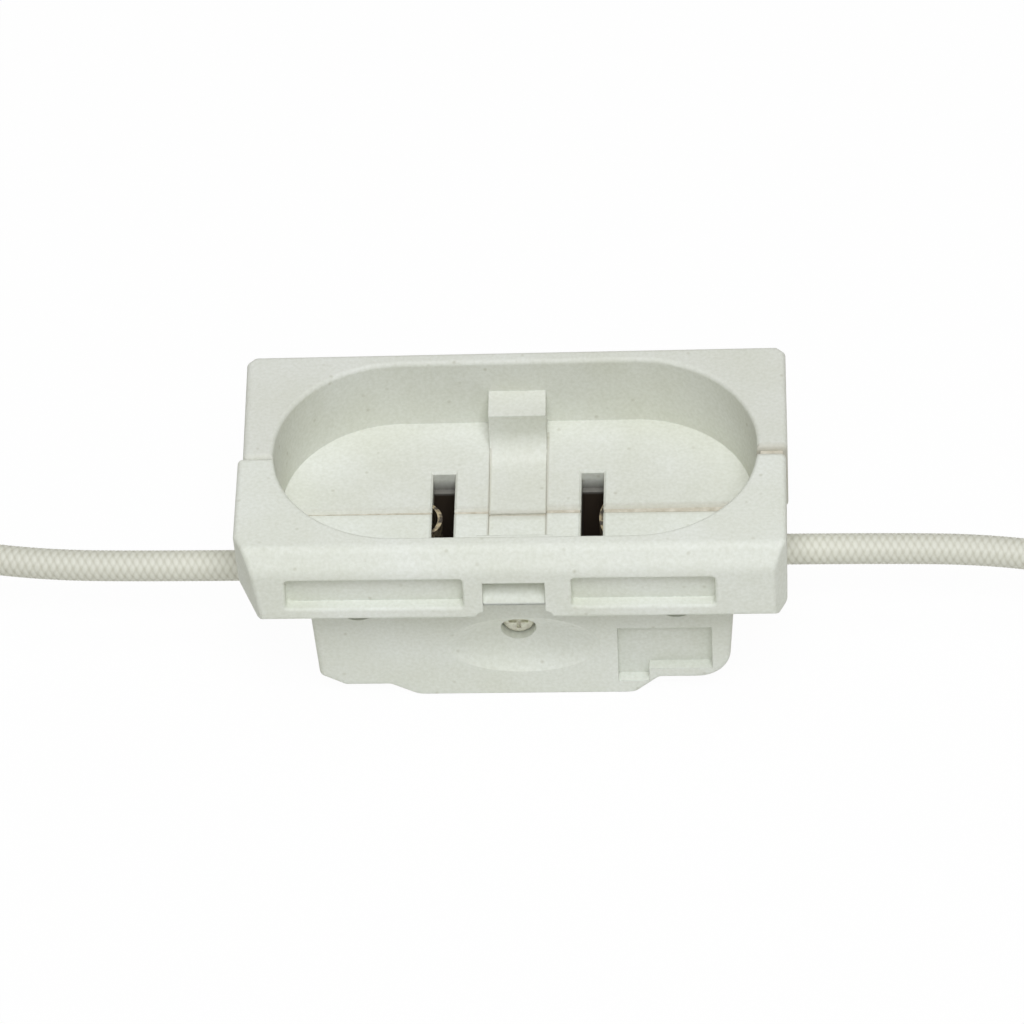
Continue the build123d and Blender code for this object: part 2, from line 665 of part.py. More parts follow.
# The pieces of each side; the left ones are the right ones turned half round about the upright axis
for name, side, bow_rise in (("left", -1, left_bow_rise), ("right", 1, right_bow_rise)):
    flat = Plane((0, 0, 0), x_dir=(side, 0, 0), z_dir=(0, 0, 1))

    # Contact strip: wings, a bow whose tongue stands up into the slot, and a tail for the lug
    with BuildPart() as contact:
        extrude(
            bowed_strip(flat.offset(strip_low), slot_outer, strip_thickness, bow_rise),
            amount=tongue_z - strip_low,
        )
        with BuildSketch(flat.offset(strip_high)):
            with GridLocations(0, bow_width + wing_width, 1, 2):
                Rectangle(4 * slot_outer, wing_width)
        extrude(amount=total_height, mode=Mode.SUBTRACT)
        with BuildSketch(flat.offset(tail_z)):
            with Locations((slot_outer, lead_offset)):
                Rectangle(tail_length, tail_width, align=(Align.MIN, Align.CENTER))
            with Locations((rivet_u, lead_offset)):
                Circle((rivet_diameter + fit_clearance) / 2, mode=Mode.SUBTRACT)
        extrude(amount=strip_thickness)
    contact.part.label = name + "_contact"
    export_step(contact.part, "parts/" + name + "_contact.step")

    # Backing spring behind the bow
    with BuildPart() as spring:
        spring_low = lug_z + part_clearance
        extrude(
            bowed_strip(flat.offset(spring_low), strip_outer + spring_gap, spring_thickness, bow_rise),
            amount=strip_high - spring_margin - spring_low,
        )
    spring.part.label = name + "_backing_spring"
    export_step(spring.part, "parts/" + name + "_backing_spring.step")

    # Crimp lug: an eye on the contact's tail, a neck and a barrel round the conductor
    barrel_plane = Plane(
        flat.from_local_coords((barrel_start, lead_offset, lead_height)), z_dir=(side, 0, 0)
    )
    with BuildPart() as lug:
        with BuildSketch(flat.offset(lug_z)):
            with Locations((rivet_u, lead_offset)):
                Circle(lug_diameter / 2)
        extrude(amount=lug_thickness)
        with BuildSketch(flat.offset(lug_z)):
            with Locations((rivet_u, lead_offset)):
                neck_end = (barrel_start + barrel_end) / 2 - rivet_u
                Rectangle(neck_end, barrel_bore, align=(Align.MIN, Align.CENTER))
        extrude(amount=lead_height - (barrel_diameter + barrel_bore) / 4 - lug_z)
        with BuildSketch(barrel_plane):
            Circle(barrel_diameter / 2)
        extrude(amount=barrel_length)
        with BuildSketch(barrel_plane):
            Circle(barrel_bore / 2)
        extrude(amount=barrel_length, mode=Mode.SUBTRACT)
        with BuildSketch(flat.offset(lug_z)):
            with Locations((rivet_u, lead_offset)):
                Circle((rivet_diameter + fit_clearance) / 2)
        extrude(amount=lead_height, mode=Mode.SUBTRACT)
        with BuildSketch(flat.offset(lug_z + lug_thickness)):
            with Locations((rivet_u, lead_offset)):
                Circle((rivet_head_diameter + 2 * fit_clearance) / 2)
        extrude(amount=lead_height, mode=Mode.SUBTRACT)
    lug.part.label = name + "_lug"
    export_step(lug.part, "parts/" + name + "_lug.step")

    # Rivet through the lug's eye and the contact's tail
    with BuildPart() as rivet:
        for base, height, diameter in (
            (tail_z - rivet_head_height, rivet_head_height, rivet_head_diameter),
            (tail_z, strip_thickness + lug_thickness, rivet_diameter),
            (lug_z + lug_thickness, rivet_head_height, rivet_head_diameter),
        ):
            with BuildSketch(flat.offset(base)):
                with Locations((rivet_u, lead_offset)):
                    Circle(diameter / 2)
            extrude(amount=height)
    rivet.part.label = name + "_rivet"
    export_step(rivet.part, "parts/" + name + "_rivet.step")

    # Bared strands between the lug and the braid
    strand_start = barrel_end - conductor_insertion
    with BuildPart() as conductor:
        with BuildSketch(
            Plane(flat.from_local_coords((strand_start, lead_offset, lead_height)), z_dir=(side, 0, 0))
        ):
            Circle(conductor_diameter / 2)
        extrude(amount=lead_start - strand_start)
    conductor.part.label = name + "_conductor"
    export_step(conductor.part, "parts/" + name + "_conductor.step")

    # Braided lead: straight runs joined by arcs as large as the runs allow
    points = [flat.from_local_coords(p) for p in lead_route]
    runs = [b - a for a, b in zip(points, points[1:])]
    radii = []
    for before, after in zip(runs, runs[1:]):
        half_turn = before.get_angle(after) / 2
        radii.append(0.45 * min(before.length, after.length) / tan(radians(half_turn)))
    with BuildPart() as lead:
        with BuildLine() as path:
            FilletPolyline(*points, radius=radii)
        with BuildSketch(Plane(points[0], z_dir=runs[0])):
            Circle(lead_diameter / 2)
        sweep(path=path.wires()[0])
    lead.part.label = name + "_lead"
    export_step(lead.part, "parts/" + name + "_lead.step")
    section = pi * lead_diameter**2 / 4
    path_length = path.wires()[0].length
    print(name, "lead radii", [round(r, 1) for r in radii], "length", round(path_length, 2))
    print(name, "lead volume", round(lead.part.volume, 2), "of", round(section * path_length, 2))

    # Hank of the stored length: the outer shape of its turns, with the lead's way in on top
    hank_middle = hank_near_end + hank_length / 2
    with BuildPart() as hank:
        with BuildSketch(flat.offset(hank_lift)):
            with Locations((hank_middle, 0)):
                SlotOverall(hank_length, 2 * hank_fold_radius + lead_diameter)
                SlotOverall(
                    hank_length - 2 * lead_diameter,
                    2 * hank_fold_radius - lead_diameter,
                    mode=Mode.SUBTRACT,
                )
        extrude(amount=2 * lead_diameter)
        fillet(hank.edges().filter_by(lambda e: e.bounding_box().size.Z < 0.01), radius=hank_rounding)
        stub_start = lead_route[-1][0]
        with BuildSketch(flat.offset(hank_top - hank_rounding)):
            with Locations((stub_start, entry_run)):
                Rectangle(stub_length, stub_width, align=(Align.MIN, Align.CENTER))
        extrude(amount=lead_top - hank_top + hank_rounding)
        with BuildSketch(Plane(points[-1], z_dir=(side, 0, 0))):
            Circle(lead_diameter / 2)
        extrude(amount=stub_length)
        with BuildSketch(flat):
            with Locations((end_start, entry_run)):
                Rectangle(end_length + end_gap, 2 * lead_diameter, align=(Align.MIN, Align.CENTER))
        extrude(amount=hank_lift + lead_diameter, mode=Mode.SUBTRACT)
    hank.part.label = name + "_lead_hank"
    export_step(hank.part, "parts/" + name + "_lead_hank.step")

    # Stripped end of the lead, in the hank's lower layer
    end_plane = Plane(
        flat.from_local_coords((end_start, entry_run, hank_lift + lead_diameter / 2)),
        z_dir=(side, 0, 0),
    )
    with BuildPart() as lead_end:
        with BuildSketch(end_plane):
            Circle(conductor_diameter / 2)
        extrude(amount=end_length)
    lead_end.part.label = name + "_lead_end"
    export_step(lead_end.part, "parts/" + name + "_lead_end.step")

    # Tie round the hank's other run, with its locking head on top
    with BuildPart() as tie:
        inside = 2 * tie_clearance
        tie_plane = Plane(
            flat.from_local_coords((hank_middle, tied_run, hank_lift + lead_diameter)),
            x_dir=(0, side, 0),
            z_dir=(side, 0, 0),
        )
        with BuildSketch(tie_plane):
            RectangleRounded(
                lead_diameter + inside + 2 * tie_thickness,
                2 * lead_diameter + inside + 2 * tie_thickness,
                hank_rounding,
            )
            RectangleRounded(
                lead_diameter + inside,
                2 * lead_diameter + inside,
                hank_rounding - tie_thickness,
                mode=Mode.SUBTRACT,
            )
        extrude(amount=tie_width / 2, both=True)
        with BuildSketch(flat.offset(hank_top + tie_clearance + tie_thickness / 2)):
            with Locations((hank_middle, tied_run)):
                Rectangle(tie_head_length, lead_diameter)
        extrude(amount=tie_thickness / 2 + tie_head_height)
    tie.part.label = name + "_tie"
    export_step(tie.part, "parts/" + name + "_tie.step")
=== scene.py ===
import math

import bpy
import numpy as np
from bpy.props import FloatProperty, PointerProperty, StringProperty
from mathutils import Matrix, Vector


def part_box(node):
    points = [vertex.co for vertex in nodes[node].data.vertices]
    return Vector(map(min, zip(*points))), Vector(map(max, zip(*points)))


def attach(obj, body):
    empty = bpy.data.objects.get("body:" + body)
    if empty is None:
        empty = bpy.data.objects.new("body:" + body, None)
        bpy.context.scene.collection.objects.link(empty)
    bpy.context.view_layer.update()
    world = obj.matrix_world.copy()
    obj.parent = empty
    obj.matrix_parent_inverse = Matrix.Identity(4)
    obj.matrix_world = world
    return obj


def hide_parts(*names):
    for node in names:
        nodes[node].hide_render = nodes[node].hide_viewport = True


bl_info = {
    "name": "Mogul end prong lamp socket",
    "version": (1, 0, 0),
    "blender": (4, 5, 0),
    "location": "3D View > Sidebar > Lamp socket",
    "description": "Dresses the steatite lamp socket, its contacts and its glass braided leads",
    "category": "Object",
}

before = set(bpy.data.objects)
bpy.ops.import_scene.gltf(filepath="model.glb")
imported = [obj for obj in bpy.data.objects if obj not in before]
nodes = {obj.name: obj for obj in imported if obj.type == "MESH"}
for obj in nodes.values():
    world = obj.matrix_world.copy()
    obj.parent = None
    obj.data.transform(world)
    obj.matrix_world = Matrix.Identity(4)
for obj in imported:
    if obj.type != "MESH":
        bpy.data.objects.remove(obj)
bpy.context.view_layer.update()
SIDES = {"left": -1, "right": 1}


def linear(hex_colour):
    """An sRGB hex value as linear red, green, blue and alpha."""
    channels = [int(hex_colour[i:i + 2], 16) / 255 for i in (1, 3, 5)]
    return [c / 12.92 if c <= 0.04045 else ((c + 0.055) / 1.055) ** 2.4 for c in channels] + [1.0]


def add_node(material, kind, settings=None, stops=(), **links):
    """Add a node to a material or world, with attributes or values from settings and sockets fed by links.

    A settings key that names an input socket sets its value; any other key is an attribute of the node.
    A link's key is the input's name with spaces as underscores, or in_N for input N. Stops are the places
    and hex colours of a colour ramp."""
    tree = material.node_tree
    node = tree.nodes.new(kind)
    for key, value in (settings or {}).items():
        if isinstance(key, int) or key in node.inputs:
            node.inputs[key].default_value = value
        else:
            setattr(node, key, value)
    for number, (place, colour) in enumerate(stops):
        elements = node.color_ramp.elements
        element = elements[number] if number < len(elements) else elements.new(place)
        element.position = place
        element.color = linear(colour)
    for key, source in links.items():
        target = node.inputs[int(key[3:])] if key.startswith("in_") else node.inputs[key.replace("_", " ")]
        tree.links.new(source, target)
    return node


def new_material(name):
    """An empty material, to which the caller adds the nodes."""
    material = bpy.data.materials.new(name)
    material.use_nodes = True
    material.node_tree.nodes.clear()
    return material


class SocketSizes(bpy.types.PropertyGroup):
    """Sizes of the seam, the braid, the leads and their hanks, in metres."""

    seam_slope: FloatProperty(
        name="Seam slope", description="How far the rear half's seam moves to the rear along the seam",
        default=math.tan(math.radians(0.7)))
    rear_end: FloatProperty(
        name="Rear half's left end", description="Place along the seam where the halves touch",
        default=-0.02905, unit="LENGTH")
    lead_diameter: FloatProperty(
        name="Lead diameter", description="Across the braid's crowns", default=0.0034, unit="LENGTH")
    braid_pitch: FloatProperty(
        name="Braid pitch", description="Along the lead, from one crossing to the next in a row",
        default=0.00085, unit="LENGTH")
    braid_relief: FloatProperty(
        name="Braid relief", description="From the crowns to the hollows between strands",
        default=0.00012, unit="LENGTH")
    fold_radius: FloatProperty(
        name="Fold radius", description="At the middle of the lead in the hank's folds",
        default=0.0102, unit="LENGTH")
    near_fold: FloatProperty(
        name="Near fold", description="From the socket's middle to the centre of the hank's near fold",
        default=0.0709, unit="LENGTH")
    far_fold: FloatProperty(
        name="Far fold", description="From the socket's middle to the centre of the hank's far fold",
        default=0.1011, unit="LENGTH")
    end_place: FloatProperty(
        name="End of the braid", description="From the socket's middle to where the braid is stripped",
        default=0.082, unit="LENGTH")


class SocketColours(bpy.types.PropertyGroup):
    """Colours of the main finishes, as sRGB hex values."""

    front_steatite: StringProperty(
        name="Front steatite", description="Fired body of the front half", default="#EAEDE6")
    rear_steatite: StringProperty(
        name="Rear steatite", description="Fired body of the rear half, a shade darker", default="#E4E6DF")
    # Tan dirt along the seam; the same colour paints the thin lines of shade beside the channel
    stain_and_shade: StringProperty(name="Seam stain", description="Tan dirt along the seam", default="#A8A08B")
    # Soot and painted shade: brown-black between the contacts' bright patches, and the painted shade in the
    # slots and bays
    soot_and_shade: StringProperty(name="Soot", description="Burnt dirt in the slots and bays", default="#33291E")
    braid_crown: StringProperty(name="Braid crown", description="Glass yarn on top", default="#D8D8CB")
    # Painted shade: the greyer colour of the yarn in the hollows between strands
    braid_hollow_shade: StringProperty(
        name="Braid hollow", description="Glass yarn in the hollows", default="#BAB8A7")
    nickel: StringProperty(name="Nickel", description="Plating of the contacts", default="#B5A88A")
    steel: StringProperty(name="Plated steel", description="Screw, washer and nut", default="#ECEDDC")


def sizes():
    """The sizes that the sidebar holds."""
    return bpy.context.scene.socket_sizes


def colours():
    """The colours that the sidebar holds."""
    return bpy.context.scene.socket_colours


def steatite_material(name, colour, seam_slope):
    """Pressed and fired steatite, unglazed: a chalky off-white with fine mottling, small soft pits and worn
    edges, faint tan dirt along the seam, thin lines of painted shade beside the channel, and painted shade
    that darkens the slots downwards.

    The seam runs along X; seam_slope is how far it moves to the rear for each metre along X."""
    m = new_material(name)
    place = add_node(m, "ShaderNodeTexCoord").outputs["Object"]
    axes = add_node(m, "ShaderNodeSeparateXYZ", {}, Vector=place).outputs
    # Where the marks lie on the part: heights, and distances from its middle
    floor_level, shade_top, shade_full = 0.0165, 0.0157, 0.0138
    channel_side, recess_side, slot_inner, bay_outer = 0.0031, 0.0123, 0.0067, 0.0195
    # Grit of 0.15 mm, mottling of 0.4 mm, pits 2.5 mm apart and clouds of 9 mm
    grit = add_node(m, "ShaderNodeTexNoise", {"Scale": 1 / 0.00015, "Detail": 2.0}, Vector=place)
    mottle = add_node(m, "ShaderNodeTexNoise", {"Scale": 1 / 0.0004, "Detail": 3.0}, Vector=place)
    cloud = add_node(m, "ShaderNodeTexNoise", {"Scale": 1 / 0.009, "Detail": 3.0}, Vector=place)
    pits = add_node(m, "ShaderNodeTexVoronoi", {"Scale": 1 / 0.0025}, Vector=place)
    tone = add_node(m, "ShaderNodeValToRGB", {}, [(0.3, "#F6F6F1"), (0.7, "#FFFFFF")],
                    Fac=cloud.outputs["Fac"])
    flecks = add_node(m, "ShaderNodeValToRGB", {}, [(0.3, "#F4F4F1"), (0.7, "#FFFFFF")],
                      Fac=mottle.outputs["Fac"])
    mottled = add_node(m, "ShaderNodeMixRGB", {"blend_type": "MULTIPLY", "Fac": 1.0},
                       Color1=tone.outputs["Color"], Color2=flecks.outputs["Color"])
    body = add_node(m, "ShaderNodeMixRGB", {"blend_type": "MULTIPLY", "Fac": 1.0, "Color2": linear(colour)},
                    Color1=mottled.outputs["Color"])
    dots = add_node(m, "ShaderNodeValToRGB", {}, [(0.02, "#D2CFC2"), (0.12, "#FFFFFF")],
                    Fac=pits.outputs["Distance"])
    pitted = add_node(m, "ShaderNodeMixRGB", {"blend_type": "MULTIPLY", "Fac": 0.5},
                      Color1=body.outputs["Color"], Color2=dots.outputs["Color"])
    # Dirt within 0.8 mm of the seam, heavier towards the right end
    seam = add_node(m, "ShaderNodeMath",
                    {"operation": "MULTIPLY_ADD", 1: -seam_slope, 2: sizes().rear_end * seam_slope},
                    in_0=axes["X"])
    away = add_node(m, "ShaderNodeMath", {"operation": "ADD"}, in_0=axes["Y"], in_1=seam.outputs["Value"])
    near = add_node(m, "ShaderNodeMath", {"operation": "ABSOLUTE"}, in_0=away.outputs["Value"])
    band = add_node(m, "ShaderNodeMapRange",
                    {"From Min": 0.0001, "From Max": 0.0008, "To Min": 0.5, "To Max": 0.0},
                    Value=near.outputs["Value"])
    heavier = add_node(m, "ShaderNodeMapRange",
                       {"From Min": -0.03, "From Max": 0.03, "To Min": 0.2, "To Max": 1.0},
                       Value=axes["X"])
    dirt = add_node(m, "ShaderNodeMath", {"operation": "MULTIPLY"}, in_0=band.outputs["Result"],
                    in_1=heavier.outputs["Result"])
    stained = add_node(m, "ShaderNodeMixRGB", {"Color2": linear(colours().stain_and_shade)},
                       Fac=dirt.outputs["Value"], Color1=pitted.outputs["Color"])
    # Thin lines of painted shade, in the stain colour, where the channel's sides meet the floor, broken by
    # the mottling
    along = add_node(m, "ShaderNodeMath", {"operation": "ABSOLUTE"}, in_0=axes["X"])
    beside = add_node(m, "ShaderNodeMath", {"operation": "SUBTRACT", 1: channel_side},
                      in_0=along.outputs["Value"])
    close = add_node(m, "ShaderNodeMath", {"operation": "ABSOLUTE"}, in_0=beside.outputs["Value"])
    thin = add_node(m, "ShaderNodeMapRange",
                    {"From Min": 0.00006, "From Max": 0.00022, "To Min": 0.7, "To Max": 0.0},
                    Value=close.outputs["Value"])
    level = add_node(m, "ShaderNodeMath", {"operation": "COMPARE", 1: floor_level, 2: 0.0005}, in_0=axes["Z"])
    wide = add_node(m, "ShaderNodeMath", {"operation": "ABSOLUTE"}, in_0=axes["Y"])
    within = add_node(m, "ShaderNodeMath", {"operation": "LESS_THAN", 1: recess_side},
                      in_0=wide.outputs["Value"])
    floor = add_node(m, "ShaderNodeMath", {"operation": "MULTIPLY"}, in_0=level.outputs["Value"],
                     in_1=within.outputs["Value"])
    broken = add_node(m, "ShaderNodeMath", {"operation": "MULTIPLY"}, in_0=thin.outputs["Result"],
                      in_1=mottle.outputs["Fac"])
    line = add_node(m, "ShaderNodeMath", {"operation": "MULTIPLY"}, in_0=broken.outputs["Value"],
                    in_1=floor.outputs["Value"])
    corner_shaded = add_node(m, "ShaderNodeMixRGB", {"Color2": linear(colours().stain_and_shade)},
                     Fac=line.outputs["Value"], Color1=stained.outputs["Color"])
    # Painted shade that darkens the slots, growing from just under the floor to the bays, in the slots'
    # length and out to the bays' ends
    depth = add_node(m, "ShaderNodeMapRange", {"From Min": shade_top, "From Max": shade_full}, Value=axes["Z"])
    inside = add_node(m, "ShaderNodeMapRange", {"From Min": 0.0068, "From Max": 0.0063},
                      Value=wide.outputs["Value"])
    outward = add_node(m, "ShaderNodeMath", {"operation": "GREATER_THAN", 1: slot_inner},
                       in_0=along.outputs["Value"])
    inward = add_node(m, "ShaderNodeMath", {"operation": "LESS_THAN", 1: bay_outer},
                      in_0=along.outputs["Value"])
    reach = add_node(m, "ShaderNodeMath", {"operation": "MULTIPLY"}, in_0=outward.outputs["Value"],
                     in_1=inward.outputs["Value"])
    bay = add_node(m, "ShaderNodeMath", {"operation": "MULTIPLY"}, in_0=depth.outputs["Result"],
                   in_1=inside.outputs["Result"])
    painted_slot_shade = add_node(m, "ShaderNodeMath", {"operation": "MULTIPLY"}, in_0=bay.outputs["Value"],
                     in_1=reach.outputs["Value"])
    darkened = add_node(m, "ShaderNodeMixRGB", {"Color2": linear(colours().soot_and_shade)},
                     Fac=painted_slot_shade.outputs["Value"], Color1=corner_shaded.outputs["Color"])
    # Edges worn round by 0.15 mm
    worn = add_node(m, "ShaderNodeBevel", {"samples": 6, "Radius": 0.00015})
    bump = add_node(m, "ShaderNodeBump", {"Strength": 0.25, "Distance": 0.00004},
                    Height=grit.outputs["Fac"], Normal=worn.outputs["Normal"])
    surface = add_node(m, "ShaderNodeBsdfPrincipled", {"Roughness": 0.7, "IOR": 1.45},
                       Base_Color=darkened.outputs["Color"], Normal=bump.outputs["Normal"])
    add_node(m, "ShaderNodeOutputMaterial", Surface=surface.outputs["BSDF"])
    return m


def dust_material():
    """Dust packed into the open seam: flat tan, a little uneven."""
    m = new_material("packed_dust")
    place = add_node(m, "ShaderNodeTexCoord").outputs["Object"]
    lumps = add_node(m, "ShaderNodeTexNoise", {"Scale": 1 / 0.0008, "Detail": 3.0}, Vector=place)
    tone = add_node(m, "ShaderNodeValToRGB", {}, [(0.3, "#BDB6A3"), (0.7, "#DAD5C6")],
                    Fac=lumps.outputs["Fac"])
    surface = add_node(m, "ShaderNodeBsdfPrincipled", {"Roughness": 0.9}, Base_Color=tone.outputs["Color"])
    add_node(m, "ShaderNodeOutputMaterial", Surface=surface.outputs["BSDF"])
    return m


def burnt_metal_material(name, colour):
    """Plated strip that has been hot: bright metal in patches 0.6 mm across, brown-black between them."""
    m = new_material(name)
    place = add_node(m, "ShaderNodeTexCoord").outputs["Object"]
    patches = add_node(m, "ShaderNodeTexNoise", {"Scale": 1 / 0.0006, "Detail": 3.0}, Vector=place)
    bright = add_node(m, "ShaderNodeMapRange", {"From Min": 0.42, "From Max": 0.6},
                      Value=patches.outputs["Fac"])
    tone = add_node(m, "ShaderNodeMixRGB", {"Color1": linear(colours().soot_and_shade), "Color2": linear(colour)},
                    Fac=bright.outputs["Result"])
    surface = add_node(m, "ShaderNodeBsdfPrincipled", {"Roughness": 0.4},
                       Base_Color=tone.outputs["Color"], Metallic=bright.outputs["Result"])
    add_node(m, "ShaderNodeOutputMaterial", Surface=surface.outputs["BSDF"])
    return m


def metal_material(name, colour, metallic, roughness, grain):
    """A plated or drawn metal: one tone with fine streaks, grain metres apart, that vary the gloss.

    Less than full metallic gives the dull grey of an oxidised surface."""
    m = new_material(name)
    place = add_node(m, "ShaderNodeTexCoord").outputs["Object"]
    streak = add_node(m, "ShaderNodeTexNoise", {"Scale": 1 / grain, "Detail": 3.0}, Vector=place)
    gloss = add_node(m, "ShaderNodeMapRange", {"To Min": roughness * 0.8, "To Max": roughness * 1.3},
                     Value=streak.outputs["Fac"])
    tone = add_node(m, "ShaderNodeValToRGB", {}, [(0.35, colour), (0.75, "#C8C3B4")],
                    Fac=streak.outputs["Fac"])
    surface = add_node(m, "ShaderNodeBsdfPrincipled", {"Metallic": metallic},
                       Base_Color=tone.outputs["Color"], Roughness=gloss.outputs["Result"])
    add_node(m, "ShaderNodeOutputMaterial", Surface=surface.outputs["BSDF"])
    return m


def braid_material():
    """Braided glass yarn, slightly glossy, with painted shade that greys the hollows between the bright
    crowns, from the crown attribute.
    """
    m = new_material("glass_yarn_braid")
    crown = add_node(m, "ShaderNodeAttribute", {"attribute_name": "crown"})
    c = colours()
    # The hollows get the greyer colour as painted shade
    tone = add_node(m, "ShaderNodeValToRGB", {}, [(0.1, c.braid_hollow_shade), (0.8, c.braid_crown)],
                    Fac=crown.outputs["Fac"])
    surface = add_node(m, "ShaderNodeBsdfPrincipled", {"Roughness": 0.55, "IOR": 1.52},
                       Base_Color=tone.outputs["Color"])
    add_node(m, "ShaderNodeOutputMaterial", Surface=surface.outputs["BSDF"])
    return m


def nylon_material():
    """Moulded natural nylon: milky white and satin."""
    m = new_material("natural_nylon")
    place = add_node(m, "ShaderNodeTexCoord").outputs["Object"]
    haze = add_node(m, "ShaderNodeTexNoise", {"Scale": 1 / 0.002, "Detail": 2.0}, Vector=place)
    tone = add_node(m, "ShaderNodeValToRGB", {}, [(0.3, "#DCDCD2"), (0.7, "#E9E9E2")],
                    Fac=haze.outputs["Fac"])
    surface = add_node(m, "ShaderNodeBsdfPrincipled", {"Roughness": 0.4, "IOR": 1.53},
                       Base_Color=tone.outputs["Color"])
    add_node(m, "ShaderNodeOutputMaterial", Surface=surface.outputs["BSDF"])
    return m


def finish_node(name, material):
    """Give a node of the part a finish, in its own material slots."""
    mesh = nodes[name].data
    mesh.materials.clear()
    mesh.materials.append(material)


def lead_controls(side):
    """Control points of a lead's line: the route that the part gives it, then the hank's folds and runs.

    Each fold is half a circle of seven points that starts on one run and ends on the other; the points lie
    outside the fold's radius by as much as the line cuts inside them. The lead comes in on top and goes down
    a layer in each far fold."""
    s = sizes()
    r, d = s.fold_radius, s.lead_diameter
    lift, play = 0.0006, 0.0001
    low = lift + d / 2
    heights = [low + 2 * d + play, low + d, low]
    route = np.array([
        (0.0196, 0.0008, 0.00985), (0.04, 0.0008, 0.00985), (0.052, 0.0003, 0.0098), (0.063, -0.002, 0.0096),
        (0.0735, -0.007, 0.0094), (0.084, -r, heights[0]), (0.092, -r, heights[0])])
    turn = np.linspace(0, np.pi, 7)
    wide = r / np.cos(np.pi / 12)
    points = [route]
    for layer in (0, 1):
        drop = np.linspace(heights[layer], heights[layer + 1], 7)
        level = np.full(7, heights[layer + 1])
        points.append(np.c_[s.far_fold + wide * np.sin(turn), -wide * np.cos(turn), drop])
        points.append(np.array([[(s.near_fold + s.far_fold) / 2, r, heights[layer + 1]]]))
        points.append(np.c_[s.near_fold - wide * np.sin(turn), wide * np.cos(turn), level])
        if layer == 0:
            points.append(np.array([[(s.near_fold + s.far_fold) / 2, -r, heights[layer + 1]]]))
    points.append(np.array([[s.end_place, -r, low]]))
    return np.concatenate(points) * (side, side, 1)


def smooth_line(points):
    """Points of the smooth NURBS line that has these control points."""
    curve = bpy.data.curves.new("lead_line", "CURVE")
    curve.dimensions = "3D"
    spline = curve.splines.new("NURBS")
    spline.points.add(len(points) - 1)
    spline.points.foreach_set("co", np.c_[points, np.ones(len(points))].ravel())
    spline.order_u = 3
    spline.use_endpoint_u = True
    spline.resolution_u = 24
    holder = bpy.data.objects.new("lead_line", curve)
    mesh = bpy.data.meshes.new_from_object(holder)
    line = np.empty(3 * len(mesh.vertices))
    mesh.vertices.foreach_get("co", line)
    bpy.data.objects.remove(holder)
    bpy.data.curves.remove(curve)
    bpy.data.meshes.remove(mesh)
    return line.reshape(-1, 3)


def spaced(line, stations):
    """Points of a line at these distances along it."""
    along = np.r_[0, np.cumsum(np.linalg.norm(np.diff(line, axis=0), axis=1))]
    return np.stack([np.interp(stations, along, line[:, k]) for k in range(3)], axis=1)


def line_length(line):
    """Length of a line of points."""
    return float(np.linalg.norm(np.diff(line, axis=0), axis=1).sum())


def across_axes(line):
    """Two unit vectors square to a line at each of its points; the first is level."""
    ahead = np.gradient(line, axis=0)
    ahead /= np.linalg.norm(ahead, axis=1, keepdims=True)
    level = np.cross((0, 0, 1), ahead)
    level /= np.linalg.norm(level, axis=1, keepdims=True)
    return level, np.cross(ahead, level)


def tube_mesh(name, rings):
    """A mesh from an array of rings of points, joined ring to ring, with one face over each end."""
    count, around, _ = rings.shape
    index = np.arange(count * around).reshape(count, around)
    here, there = index, np.roll(index, -1, axis=1)
    quads = np.stack([here[:-1], there[:-1], there[1:], here[1:]], axis=-1).reshape(-1, 4)
    ends = [index[0][::-1].tolist(), index[-1].tolist()]
    mesh = bpy.data.meshes.new(name)
    mesh.from_pydata(rings.reshape(-1, 3), [], quads.tolist() + ends)
    mesh.polygons.foreach_set("use_smooth", np.ones(len(mesh.polygons), dtype=bool))
    mesh.update()
    return mesh


def braided_tube(name, line):
    """A tube with a plain braid in relief, and the strand's height at each vertex as the crown attribute.

    With turns t round the tube and pitches p along it, the six strands of one hand lie between whole values
    of 6 t + p and those of the other hand between whole values of 6 t - p. A strand's height is a hump across
    it times a cosine along it that is high where it passes over, and the surface is the higher one. The rings
    lie closer on the run beside the socket."""
    s = sizes()
    strands, run = 6, 0.038
    length = line_length(line)
    stations = np.r_[np.arange(0, run, 0.00014), np.arange(run, length, 0.0002), length]
    centre = spaced(line, stations)
    level, upright = across_axes(centre)
    around = np.linspace(0, 1, 56, endpoint=False)
    turns, pitches = np.meshgrid(around, stations / s.braid_pitch)
    one, other = strands * turns + pitches, strands * turns - pitches

    def strand(across, along, over):
        hump = np.sin(np.pi * (across % 1)) ** 0.6
        return hump * (0.55 + 0.45 * np.cos(np.pi * (along + np.floor(across) + over)))

    crown = np.maximum(strand(one, other - 0.5, 0), strand(other, one - 0.5, 1))
    radius = s.lead_diameter / 2 - s.braid_relief * (1 - crown)
    angle = 2 * np.pi * turns
    rings = (centre[:, None] + (radius * np.cos(angle))[..., None] * level[:, None]
             + (radius * np.sin(angle))[..., None] * upright[:, None])
    mesh = tube_mesh(name, rings)
    mesh.attributes.new("crown", "FLOAT", "POINT").data.foreach_set("value", crown.ravel())
    return mesh


